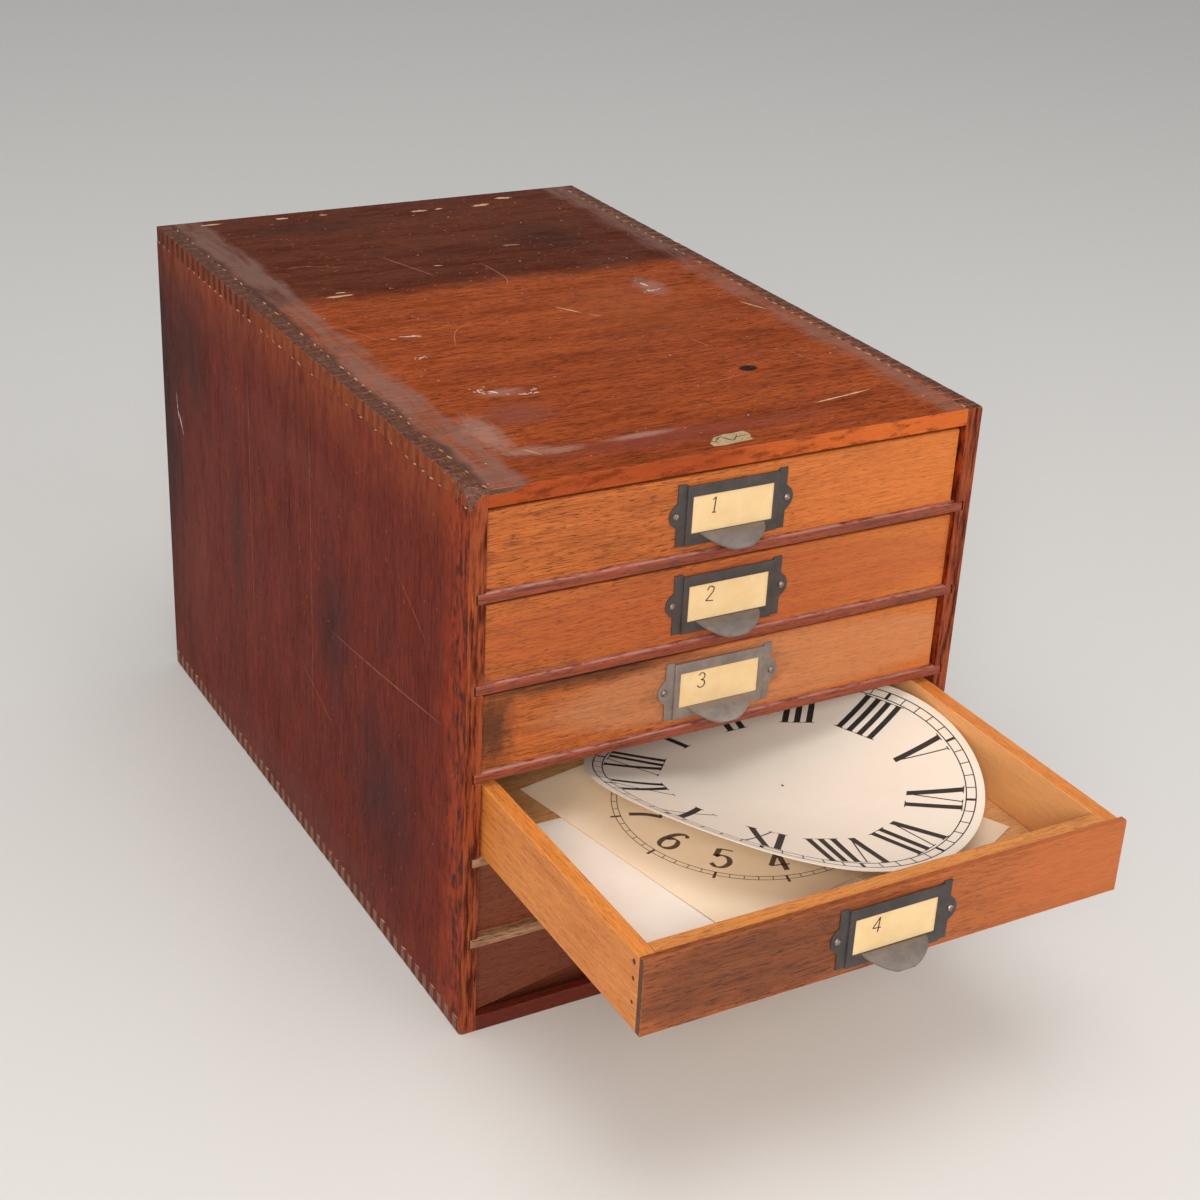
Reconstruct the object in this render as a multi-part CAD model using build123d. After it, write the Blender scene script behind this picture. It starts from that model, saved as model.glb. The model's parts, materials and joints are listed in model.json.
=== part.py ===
from build123d import *
import math
import os

os.makedirs("parts", exist_ok=True)

# Watchmaker's parts cabinet: a finger-jointed case with six drawers on thin shelves.
# Millimetres. X to the right as seen from the front, Y to the back, Z up.
# Origin: the middle of the case's underside.

# ---- case ----
case_width = 305.0
case_depth = 470.0
board_thickness = 9.5
back_thickness = 6.0
finger_count = 96             # fingers and sockets along each corner, front to back
drawer_count = 6
bay_height = 45.3
shelf_thickness = 5.5
shelf_groove_depth = 5.0
shelf_end_gap = 0.8           # the shelf ends stop short of the bottom of their grooves
shelf_edge_radius = 1.8       # front top edge, rounded by wear

# ---- drawer box ----
side_play = 2.0               # total sideways play of a facing in its bay
side_clearance = 0.3          # left on the side that a drawer leans to
top_gap = 3.0
facing_thickness = 4.0
facing_overhang = 2.0         # the facing runs past the box on the right only
facing_rise = 0.5             # the facing stands proud of the box along its top edge
facing_edge_radius = 1.2
front_thickness = 9.0
side_thickness = 9.0
drawer_back_thickness = 9.5
bottom_thickness = 3.0
bottom_raise = 3.0            # height of the bottom board's groove above the box's lower edge
bottom_groove_depth = 4.0
bottom_end_gap = 0.5          # the bottom board stops short of the bottom of its grooves
home_recess = 5.7             # facing behind the case's front edge, drawer pushed home
home_gap = 0.3                # left behind a drawer that is pushed home

# ---- how each drawer stands in the photograph ----
ajar_count = 3                # this many upper drawers stand out a little from home
ajar = 2.4
open_drawer = 4               # counted from the top
drawn_out = 169.4             # how far the open drawer is pulled out from home

# ---- pressed label holder with scoop pull ----
holder_offset = -1.5          # fitted a little left of the facing's middle
sheet_metal = 0.8
flange_width = 65.7
flange_height = 34.0
raised_width = 55.7
raised_drop = 0.9             # the raised frame's top edge sits below the flange's horns
slot_depth = 1.2              # room for the card behind the raised frame
window_width = 49.0
window_height = 20.6
window_sill = 6.4             # bar below the window
pin_spacing = 67.0
ear_radius = 7.5
ear_reach = 37.25             # half of the holder's width over its ears
ear_blend = 2.0
edge_search_gap = 0.1         # how near an edge lies to the place where it is looked for
pin_radius = 0.8
pin_sides = 12                # the small pins are drawn with this many flats
pin_head_radius = 1.9
pin_head_height = 1.1
pin_head_taper = 36.0
pin_length = 3.5              # below the head, through the sheet and into the facing
pull_width = 38.5
pull_reach = 13.2
pull_curl_radius = 17.0
pull_curl_angle = 52.0

# ---- label card ----
card_height = 31.0
card_thickness = 0.5
card_side_gap = 0.6

# ---- papers in the open drawer; places are from the middle of its floor's front edge ----
sheet_thickness = 0.4
sheet_width = 200.0
sheet_depth = 158.0
paper_wall_gap = 1.0
small_card_size = 95.0
small_card_x = 60.0
small_card_y = 71.0
small_card_turn = 27.0
square_dial_width = 176.0
square_dial_depth = 168.0
square_dial_thickness = 0.5
square_dial_x = 5.0
square_dial_y = 128.0
square_dial_turn = 11.6
round_dial_radius = 109.0
round_dial_thickness = 0.5
round_dial_curl_radius = 242.0
round_dial_axis_turn = -69.0
round_dial_axis_tilt = 3.4
round_dial_trough = 9.0       # the lowest line of the curl, off the dial's middle
round_dial_side_gap = 0.35    # left between the dial's rim and the drawer's right side
round_dial_front_gap = 16.9   # left between the dial's rim and the drawer's front
round_dial_lift = 9.0         # dial's middle above the drawer's floor

# ---- derived sizes ----
case_height = 2 * board_thickness + drawer_count * bay_height + (drawer_count - 1) * shelf_thickness
bay_width = case_width - 2 * board_thickness
inner_height = case_height - 2 * board_thickness
front_plane = -case_depth / 2
back_panel_front = case_depth / 2 - back_thickness
inner_depth = case_depth - back_thickness
finger_width = case_depth / finger_count
bay_pitch = bay_height + shelf_thickness

facing_width = bay_width - side_play
facing_height = bay_height - top_gap
box_height = facing_height - facing_rise
box_width = facing_width - facing_overhang
box_inner_width = box_width - 2 * side_thickness
drawer_length = inner_depth - home_recess - home_gap
side_length = drawer_length - facing_thickness
floor_height = bottom_raise + bottom_thickness


def block(x_low, x_high, y_low, y_high, z_low, z_high):
    """A box between two corners."""
    size = (x_high - x_low, y_high - y_low, z_high - z_low)
    middle = ((x_low + x_high) / 2, (y_low + y_high) / 2, (z_low + z_high) / 2)
    return Pos(*middle) * Box(*size)


def comb(near_edge, far_edge, has_front_finger):
    """Points of a combed edge from front to back.

    Fingers reach far_edge and sockets stop at near_edge; the front one is a finger or a socket."""
    points = []
    for index in range(finger_count):
        is_finger = (index % 2 == 0) == has_front_finger
        reach = far_edge if is_finger else near_edge
        y = front_plane + index * finger_width
        points.append((reach, y))
        points.append((reach, y + finger_width))
    return points


def combed_board(half_span, has_front_finger):
    """Outline of a board combed along two opposite edges, in its own plane."""
    right_edge = comb(half_span - board_thickness, half_span, has_front_finger)
    left_edge = [(-reach, y) for reach, y in reversed(right_edge)]
    return make_face(Polyline(right_edge + left_edge, close=True))


def case_side(direction):
    """A side board: the comb is along its top and bottom edges. direction is -1 left, 1 right."""
    outline = combed_board(case_height / 2, True)
    outer = direction * case_width / 2
    inner = outer - direction * board_thickness
    standing = Pos(min(outer, inner), 0, case_height / 2) * Rot(0, -90, 0) * outline
    board = extrude(standing, amount=board_thickness, dir=(1, 0, 0))
    for number in range(1, drawer_count):
        z = bay_floor(number) - shelf_thickness
        groove_end = inner + direction * shelf_groove_depth
        groove = block(min(inner, groove_end), max(inner, groove_end),
                       front_plane, -front_plane, z, z + shelf_thickness)
        board -= groove
    return board


def case_deck(z_low):
    """The top or bottom board: the comb is along its left and right ends."""
    outline = Pos(0, 0, z_low) * combed_board(case_width / 2, False)
    return extrude(outline, amount=board_thickness, dir=(0, 0, 1))


def bay_floor(number):
    """Height of the surface that drawer number stands on; 1 is the top drawer."""
    return board_thickness + (drawer_count - number) * bay_pitch


def lean(number):
    """Sideways shift of a drawer in its bay: the top one leans left, the next right, and so on."""
    direction = -1 if number % 2 == 1 else 1
    return direction * (side_play / 2 - side_clearance)


def pulled(number):
    """How far a drawer stands out from home."""
    if number == open_drawer:
        return drawn_out
    return ajar if number <= ajar_count else 0


def shelf(number):
    """The shelf below drawer number."""
    half_width = bay_width / 2 + shelf_groove_depth - shelf_end_gap
    top = bay_floor(number)
    board = block(-half_width, half_width, front_plane, back_panel_front, top - shelf_thickness, top)
    front_top_edge = board.edges().filter_by(Axis.X).sort_by(Axis.Y)[:2].sort_by(Axis.Z)[-1]
    return fillet(front_top_edge, shelf_edge_radius)


def pressed_sheet():
    """The label frame's sheet metal, its back on y = 0 and its middle on the origin."""
    raised_front = -(slot_depth + sheet_metal)
    raised_top = flange_height / 2 - raised_drop
    half_flange = flange_width / 2
    half_raised = raised_width / 2
    bottom = -flange_height / 2
    flange = block(-half_flange, half_flange, -sheet_metal, 0, bottom, -bottom)
    for direction in (-1, 1):
        ear_middle = direction * (ear_reach - ear_radius)
        ear = Pos(ear_middle, 0, 0) * Rot(90, 0, 0) * extrude(Circle(ear_radius), amount=sheet_metal)
        flange += ear
    ear_roots = [edge for edge in flange.edges().filter_by(Axis.Y)
                 if abs(abs(edge.center().X) - half_flange) < edge_search_gap
                 and abs(edge.center().Z) < ear_radius]
    flange = fillet(ear_roots, ear_blend)
    raised = block(-half_raised, half_raised, raised_front, 0, bottom, raised_top)
    raised_edges = raised.edges().filter_by(Axis.Z).group_by(Axis.Y)[0]
    raised = fillet(raised_edges, sheet_metal)
    pocket = block(-half_raised + sheet_metal, half_raised - sheet_metal,
                   -slot_depth, 0, bottom + sheet_metal, flange_height)
    window = block(-window_width / 2, window_width / 2, raised_front, 0,
                   bottom + window_sill, bottom + window_sill + window_height)
    above = block(-half_raised, half_raised, raised_front, 0, raised_top, flange_height)
    return flange + raised - pocket - window - above


def scoop_pull():
    """The tongue bent out of the window's lower edge: it leaves level and curls down to a round tip."""
    root_y = -slot_depth
    root_z = -flange_height / 2 + window_sill
    outer = pull_curl_radius
    inner = outer - sheet_metal

    def on_curl(radius, angle):
        turn = math.radians(angle)
        return (root_y - radius * math.sin(turn), root_z - outer + radius * math.cos(turn))

    with BuildSketch(Plane.YZ) as section:
        with BuildLine():
            RadiusArc(on_curl(outer, 0), on_curl(outer, pull_curl_angle), -outer)
            Line(on_curl(outer, pull_curl_angle), on_curl(inner, pull_curl_angle))
            RadiusArc(on_curl(inner, pull_curl_angle), on_curl(inner, 0), inner)
            Line(on_curl(inner, 0), on_curl(outer, 0))
        make_face()
    tongue = extrude(section.sketch, amount=pull_width / 2, both=True)
    plan = extrude(Ellipse(pull_width / 2, pull_reach), amount=flange_height, both=True)
    return tongue & Pos(0, root_y, root_z) * plan


def holder_pins():
    """The shanks of the two pins and the whole pins, driven through the ears from the front."""
    shanks = []
    pins = []
    for direction in (-1, 1):
        place = Pos(direction * pin_spacing / 2, -sheet_metal, 0) * Rot(90, 0, 0)
        shank = extrude(RegularPolygon(pin_radius, pin_sides), amount=-pin_length)
        head = extrude(RegularPolygon(pin_head_radius, pin_sides), amount=pin_head_height, taper=pin_head_taper)
        shanks.append(place * shank)
        pins.append(place * (head + shank))
    return shanks, pins


def label_card():
    """The slip of card, standing in the frame against the back of its window."""
    half_width = raised_width / 2 - sheet_metal - card_side_gap
    bottom = -flange_height / 2 + sheet_metal
    return block(-half_width, half_width, -slot_depth, -slot_depth + card_thickness,
                 bottom, bottom + card_height)


def drawer(number):
    """The pieces of one drawer, in place, by the last part of their name."""
    facing_left = -facing_width / 2 + lean(number)
    facing_right = facing_width / 2 + lean(number)
    box_left = facing_left
    box_right = box_left + box_width
    inner_left = box_left + side_thickness
    inner_right = box_right - side_thickness
    z = bay_floor(number)
    top = z + box_height
    front = front_plane + home_recess - pulled(number)
    box_front = front + facing_thickness
    inner_front = box_front + front_thickness
    rear = front + drawer_length
    groove_low = z + bottom_raise
    floor = z + floor_height

    facing = block(facing_left, facing_right, front, box_front, z, z + facing_height)
    top_front_edge = facing.edges().filter_by(Axis.X).sort_by(Axis.Z)[2:].sort_by(Axis.Y)[0]
    facing = fillet(top_front_edge, facing_edge_radius)

    groove = block(inner_left - bottom_groove_depth, inner_right + bottom_groove_depth,
                   inner_front - bottom_groove_depth, rear, groove_low, floor)
    front_board = block(inner_left, inner_right, box_front, inner_front, z, top) - groove
    side_left = block(box_left, inner_left, box_front, rear, z, top)
    side_right = block(inner_right, box_right, box_front, rear, z, top)
    side_groove = block(inner_left - bottom_groove_depth, inner_right + bottom_groove_depth,
                        box_front, rear, groove_low, floor)
    side_left -= side_groove
    side_right -= side_groove
    back = block(inner_left, inner_right, rear - drawer_back_thickness, rear, floor, top)
    reach = bottom_groove_depth - bottom_end_gap
    bottom = block(inner_left - reach, inner_right + reach, inner_front - reach, rear, groove_low, floor)

    holder_place = Pos((facing_left + facing_right) / 2 + holder_offset, front, z + facing_height / 2)
    frame = pressed_sheet() + scoop_pull()
    shanks, pins = holder_pins()
    for shank in shanks:
        frame -= shank
        facing -= holder_place * shank
    return {
        "facing": facing,
        "front": front_board,
        "side_left": side_left,
        "side_right": side_right,
        "back": back,
        "bottom": bottom,
        "label_holder": Compound(children=[holder_place * piece for piece in [frame] + pins]),
        "label_card": holder_place * label_card(),
    }


def drawer_floor_middle(number):
    """The middle of the front edge of a drawer's floor."""
    x = lean(number) - facing_overhang / 2
    y = front_plane + home_recess - pulled(number) + facing_thickness + front_thickness
    return Pos(x, y, bay_floor(number) + floor_height)


def flat_papers():
    """A sheet in the front left corner of the drawer, a small card and a large square card on it."""
    sheet_left = -box_inner_width / 2 + paper_wall_gap
    sheet = block(sheet_left, sheet_left + sheet_width, paper_wall_gap, paper_wall_gap + sheet_depth,
                  0, sheet_thickness)
    small_card = (Pos(small_card_x, small_card_y, 1.5 * sheet_thickness) * Rot(0, 0, small_card_turn)
                  * Box(small_card_size, small_card_size, sheet_thickness))
    square_dial = (Pos(square_dial_x, square_dial_y, 2 * sheet_thickness + square_dial_thickness / 2)
                   * Rot(0, 0, square_dial_turn)
                   * Box(square_dial_width, square_dial_depth, square_dial_thickness))
    place = drawer_floor_middle(open_drawer)
    return Compound(children=[place * sheet, place * small_card, place * square_dial])


def round_dial():
    """A round card curled up at two sides, like a shallow trough: a disc cut from a cylinder's wall."""
    outer = round_dial_curl_radius
    half_curl = outer * math.sin(round_dial_radius / outer)
    curl = Rot(0, 90, 0) * Cylinder(outer, 2 * round_dial_radius)
    curl -= Rot(0, 90, 0) * Cylinder(outer - round_dial_thickness, 2 * round_dial_radius)
    outline = Pos(0, -round_dial_trough, -outer) * extrude(Ellipse(round_dial_radius, half_curl),
                                                           amount=outer / 2, both=True)
    disc = Pos(0, round_dial_trough, outer) * (curl & outline)
    turned = Rot(0, 0, round_dial_axis_turn) * Rot(0, -round_dial_axis_tilt, 0) * disc
    rim = turned.bounding_box()
    x = box_inner_width / 2 - round_dial_side_gap - rim.max.X
    y = round_dial_front_gap - rim.min.Y
    return drawer_floor_middle(open_drawer) * Pos(x, y, round_dial_lift) * turned


nodes = {
    "case_top": case_deck(case_height - board_thickness),
    "case_bottom": case_deck(0),
    "case_side_left": case_side(-1),
    "case_side_right": case_side(1),
    "case_back": block(-bay_width / 2, bay_width / 2, back_panel_front, case_depth / 2,
                       board_thickness, board_thickness + inner_height),
    "flat_papers": flat_papers(),
    "round_dial": round_dial(),
}
for drawer_number in range(1, drawer_count):
    nodes[f"shelf_{drawer_number}"] = shelf(drawer_number)
for drawer_number in range(1, drawer_count + 1):
    for name, piece in drawer(drawer_number).items():
        nodes[f"drawer_{drawer_number}_{name}"] = piece

for name, piece in nodes.items():
    export_step(piece, f"parts/{name}.step")
print("nodes", len(nodes))
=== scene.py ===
import json
import math
import random
import bmesh
import bpy
from mathutils import Matrix, Vector, noise
from mathutils.bvhtree import BVHTree


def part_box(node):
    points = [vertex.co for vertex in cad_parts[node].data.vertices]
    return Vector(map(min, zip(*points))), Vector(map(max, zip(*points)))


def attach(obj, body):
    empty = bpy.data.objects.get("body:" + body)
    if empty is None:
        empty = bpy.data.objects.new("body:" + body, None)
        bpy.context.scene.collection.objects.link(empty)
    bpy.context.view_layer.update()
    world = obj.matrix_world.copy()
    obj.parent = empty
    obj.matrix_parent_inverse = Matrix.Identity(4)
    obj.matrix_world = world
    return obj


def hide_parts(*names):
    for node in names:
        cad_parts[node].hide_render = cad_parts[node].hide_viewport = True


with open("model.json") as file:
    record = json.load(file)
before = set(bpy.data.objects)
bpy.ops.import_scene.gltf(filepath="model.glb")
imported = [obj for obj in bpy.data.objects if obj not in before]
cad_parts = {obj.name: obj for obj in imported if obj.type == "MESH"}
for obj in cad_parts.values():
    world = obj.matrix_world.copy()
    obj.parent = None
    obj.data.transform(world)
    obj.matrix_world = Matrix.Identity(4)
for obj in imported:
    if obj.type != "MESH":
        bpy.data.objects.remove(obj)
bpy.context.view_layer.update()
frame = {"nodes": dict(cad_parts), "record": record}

MM = 0.001
nodes = frame["nodes"]
bodies = frame["record"]["behaviour"]["bodies"]
body_of_node = {node: body for body, members in bodies.items() for node in members}

# the case, in mm
case_half_width = 152.5
case_depth = 470.0
case_height = 318.3
front_of_case = -case_depth / 2
drawer_count = 6
finger_count = 96
finger_width = case_depth / finger_count

# ---------------------------------------------------------------- camera, floor, light
azimuth, elevation, roll = math.radians(-30.07), math.radians(26.179), math.radians(2.955)
back = Vector((math.sin(azimuth) * math.cos(elevation), -math.cos(azimuth) * math.cos(elevation),
               math.sin(elevation)))
level_right = (-back).cross(Vector((0, 0, 1))).normalized()
level_up = level_right.cross(-back)
right = level_right * math.cos(roll) + level_up * math.sin(roll)
up = level_up * math.cos(roll) - level_right * math.sin(roll)
camera = bpy.data.objects.new("camera", bpy.data.cameras.new("camera"))
camera.data.lens = 62.69
camera.data.sensor_width = 36.0
camera.data.clip_start = 0.01
camera_place = (-0.55126, -1.05063, 0.71102)
camera.matrix_world = Matrix.Translation(camera_place) @ Matrix((right, up, back)).transposed().to_4x4()
bpy.context.scene.collection.objects.link(camera)
bpy.context.scene.camera = camera
bpy.context.scene.view_settings.view_transform = "Standard"


def linear(hex_colour):
    """An sRGB hex colour as a linear one."""
    values = [int(hex_colour[i:i + 2], 16) / 255 for i in (1, 3, 5)]
    return tuple(v / 12.92 if v <= 0.04045 else ((v + 0.055) / 1.055) ** 2.4 for v in values) + (1.0,)


def add(tree, kind, inputs=None, out=None, **settings):
    """Adds one node with its settings, values (a colour may be hex) and links, and gives its output."""
    made = tree.nodes.new(kind)
    for name, value in settings.items():
        setattr(made, name, value)
    for key, value in (inputs or {}).items():
        if isinstance(value, bpy.types.NodeSocket):
            tree.links.new(value, made.inputs[key])
            continue
        if isinstance(value, str) and value[0] == "#":
            value = linear(value)
        made.inputs[key].default_value = value
    if out is not None:
        return made.outputs[out]
    return next((socket for socket in made.outputs if socket.enabled), None)


def new_material(name):
    """An empty material and its node tree."""
    material = bpy.data.materials.new(name)
    material.use_nodes = True
    material.node_tree.nodes.clear()
    return material, material.node_tree


def finish_material(tree, inputs):
    """Closes a material with its surface shader."""
    surface = add(tree, "ShaderNodeBsdfPrincipled", inputs)
    add(tree, "ShaderNodeOutputMaterial", {"Surface": surface})


def seamless_floor():
    """Pale matt floor that fades into a pale background for the camera."""
    material, tree = new_material("pale_matt_backdrop_paper")
    finish_material(tree, {"Base Color": "#d9d9d8", "Roughness": 0.9})
    mesh = bpy.data.meshes.new("floor")
    half = 6.0
    corners = [(-half, -half, 0), (half, -half, 0), (half, half, 0), (-half, half, 0)]
    mesh.from_pydata(corners, [], [(0, 1, 2, 3)])
    floor = bpy.data.objects.new("floor", mesh)
    floor.location.z = -0.2 * MM
    mesh.materials.append(material)
    bpy.context.scene.collection.objects.link(floor)


def soft_lamp(name, direction, distance, size, power, colour):
    """A square soft box that looks at the cabinet."""
    lamp = bpy.data.lights.new(name, "AREA")
    lamp.size = size
    lamp.energy = power
    lamp.color = linear(colour)[:3]
    holder = bpy.data.objects.new(name, lamp)
    middle = Vector((0, -0.05, 0.15))
    place = Vector(direction).normalized() * distance
    turn = place.to_track_quat("Z", "Y").to_matrix().to_4x4()
    holder.matrix_world = Matrix.Translation(middle + place) @ turn
    bpy.context.scene.collection.objects.link(holder)


def studio():
    """The floor, three soft boxes, and a pale world that the camera sees brighter than it shines."""
    seamless_floor()
    soft_lamp("key_softbox", (-0.74, -1.25, 0.68), 3.0, 1.1, 56, "#fff6ec")
    soft_lamp("front_fill", (0.75, -1.4, 0.75), 3.0, 2.0, 17, "#fff8f0")
    soft_lamp("top_fill", (-0.1, -0.3, 1.6), 3.0, 2.0, 34, "#fffaf5")
    world = bpy.data.worlds.new("pale_studio")
    world.use_nodes = True
    world.node_tree.nodes.clear()
    tree = world.node_tree
    ray = add(tree, "ShaderNodeLightPath", out="Is Camera Ray")
    strength = add(tree, "ShaderNodeMapRange", {"Value": ray, "To Min": 0.48, "To Max": 0.8})
    background = add(tree, "ShaderNodeBackground", {"Color": "#f4f4f4", "Strength": strength})
    add(tree, "ShaderNodeOutputWorld", {"Surface": background})
    bpy.context.scene.world = world


studio()


# ---------------------------------------------------------------- wood
def stretched(tree, grain, along, across):
    """Object coordinates squeezed so that one unit is along mm with the grain and across mm over it."""
    place = add(tree, "ShaderNodeTexCoord", out="Object")
    scale = [1 / (along * MM) if axis == grain else 1 / (across * MM) for axis in "XYZ"]
    return add(tree, "ShaderNodeMapping", {"Vector": place, "Scale": scale})


def streaks(tree, grain, along, across, low, high, share=1.0, detail=4.0):
    """Streaks along the grain, of the given length and width in mm, 0 below low and share above high."""
    cloud = add(tree, "ShaderNodeTexNoise", {"Vector": stretched(tree, grain, along, across), "Scale": 1.0,
                                             "Detail": detail, "Roughness": 0.66})
    return add(tree, "ShaderNodeMapRange",
               {"Value": cloud, "From Min": low, "From Max": high, "To Max": share})


def edge_wear(tree, radius):
    """1 on the arrises, 0 on the flats: how far a rounded corner's normal turns from the real one."""
    rounded = add(tree, "ShaderNodeBevel", {"Radius": radius * MM}, samples=6)
    real = add(tree, "ShaderNodeNewGeometry", out="Normal")
    same = add(tree, "ShaderNodeVectorMath", {0: rounded, 1: real}, out="Value", operation="DOT_PRODUCT")
    return add(tree, "ShaderNodeMapRange", {"Value": same, "From Min": 0.97, "From Max": 0.82})


def near(tree, axis, start, end, ragged=2.0, size=9.0, share=1.0):
    """0 before start and share past end along an axis, in mm, with a ragged border."""
    place = add(tree, "ShaderNodeTexCoord", out="Object")
    cloud = add(tree, "ShaderNodeTexNoise", {"Vector": place, "Scale": 1 / (size * MM), "Detail": 6.0})
    shift = add(tree, "ShaderNodeMapRange", {"Value": cloud, "From Min": 0.25, "From Max": 0.75,
                                             "To Min": -ragged * MM, "To Max": ragged * MM})
    split = add(tree, "ShaderNodeSeparateXYZ", {0: place}, out=axis)
    moved = add(tree, "ShaderNodeMath", {0: split, 1: shift}, operation="ADD")
    return add(tree, "ShaderNodeMapRange",
               {"Value": moved, "From Min": start * MM, "From Max": end * MM, "To Max": share})


def turned_to(tree, axis, way, share=1.0):
    """share on faces that look along an axis, where way is -1, 1 or 0 for both, and 0 on the others."""
    facing = add(tree, "ShaderNodeTexCoord", out="Normal")
    along = add(tree, "ShaderNodeSeparateXYZ", {0: facing}, out=axis)
    operation = "MULTIPLY" if way else "ABSOLUTE"
    along = add(tree, "ShaderNodeMath", {0: along, 1: float(way)}, operation=operation)
    return add(tree, "ShaderNodeMapRange",
               {"Value": along, "From Min": 0.55, "From Max": 0.8, "To Max": share})


def smudge(tree, colour, middle, reach, hue, share, ragged=0.9, soft=0.65):
    """A soft, ragged patch of another colour round a point; sizes in mm."""
    place = add(tree, "ShaderNodeTexCoord", out="Object")
    local = add(tree, "ShaderNodeMapping", {"Vector": place, "Location": [v * MM for v in middle],
                                            "Scale": [v * MM for v in reach]}, vector_type="TEXTURE")
    distance = add(tree, "ShaderNodeVectorMath", {0: local}, out="Value", operation="LENGTH")
    cloud = add(tree, "ShaderNodeTexNoise", {"Vector": local, "Scale": 3.5, "Detail": 8.0, "Roughness": 0.7})
    distance = add(tree, "ShaderNodeMath", {0: cloud, 1: ragged, 2: distance}, operation="MULTIPLY_ADD")
    mask = add(tree, "ShaderNodeMapRange", {"Value": distance, "From Min": 1.0 + ragged / 2,
                                            "From Max": 1.0 - soft + ragged / 2, "To Max": share})
    return add(tree, "ShaderNodeMix", {0: mask, 6: colour, 7: hue}, data_type="RGBA")


def wood(name, grain, pale, deep, pore, end, worn, figure=(240, 24), line=(70, 1.7), fibre=0.65, streak=0.5,
         open_pores=0.6, roughness=0.5, gloss=0.35, wear=0.8, dirt="#2a1712", dirt_share=0.3, marks=None):
    """Cabinet wood: bands of figure, fine lines, short dark pores, end grain, grime, and rubbed arrises.

    Figure and line are lengths and widths in mm, fibre is a width in mm, the other numbers are shares.
    """
    material, tree = new_material(name)
    broad = streaks(tree, grain, *figure, 0.32, 0.68, 0.45)
    lines = streaks(tree, grain, *line, 0.34, 0.66, 0.55)
    both = add(tree, "ShaderNodeMath", {0: broad, 1: lines}, operation="ADD")
    colour = add(tree, "ShaderNodeMix", {0: both, 6: pale, 7: deep}, data_type="RGBA")
    # real fibres and pores are 0.1 to 0.2 mm wide; they are drawn about 0.6 mm wide or more so that they show
    fibres = streaks(tree, grain, 16, fibre, 0.5, 0.64, streak)
    light = streaks(tree, grain, 22, fibre * 1.2, 0.5, 0.34, streak * 0.6)
    pores = streaks(tree, grain, 6.5, fibre * 0.9, 0.59, 0.65, open_pores, 1.0)
    for mask, hue in ((fibres, pore), (light, pale), (pores, pore)):
        colour = add(tree, "ShaderNodeMix", {0: mask, 6: colour, 7: hue}, data_type="RGBA")
    speckled_end = streaks(tree, grain, 6, 0.9, 0.4, 0.62, 0.45)
    end_colour = add(tree, "ShaderNodeMix", {0: speckled_end, 6: end, 7: pore}, data_type="RGBA")
    colour = add(tree, "ShaderNodeMix", {0: turned_to(tree, grain, 0, 0.9), 6: colour, 7: end_colour},
                 data_type="RGBA")
    grime = streaks(tree, grain, 46, 12, 0.48, 0.7, dirt_share, 8.0)
    colour = add(tree, "ShaderNodeMix", {0: grime, 6: colour, 7: dirt}, data_type="RGBA")
    if marks:
        colour = marks(tree, colour)
    chipped = streaks(tree, grain, 7, 2.5, 0.4, 0.6, wear)
    rubbed = add(tree, "ShaderNodeMath", {0: edge_wear(tree, 0.9), 1: chipped}, operation="MULTIPLY")
    colour = add(tree, "ShaderNodeMix", {0: rubbed, 6: colour, 7: worn}, data_type="RGBA")
    height = add(tree, "ShaderNodeMath", {0: fibres, 1: pores}, operation="ADD")
    depth = 0.12 * MM
    bump = add(tree, "ShaderNodeBump", {"Height": height, "Strength": 0.7, "Distance": depth}, invert=True)
    dull = add(tree, "ShaderNodeMapRange", {"Value": grime, "From Max": 0.3, "To Min": roughness - 0.05,
                                            "To Max": roughness + 0.15})
    finish_material(tree, {"Base Color": colour, "Roughness": dull, "Normal": bump,
                           "Specular IOR Level": gloss})
    return material


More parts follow.
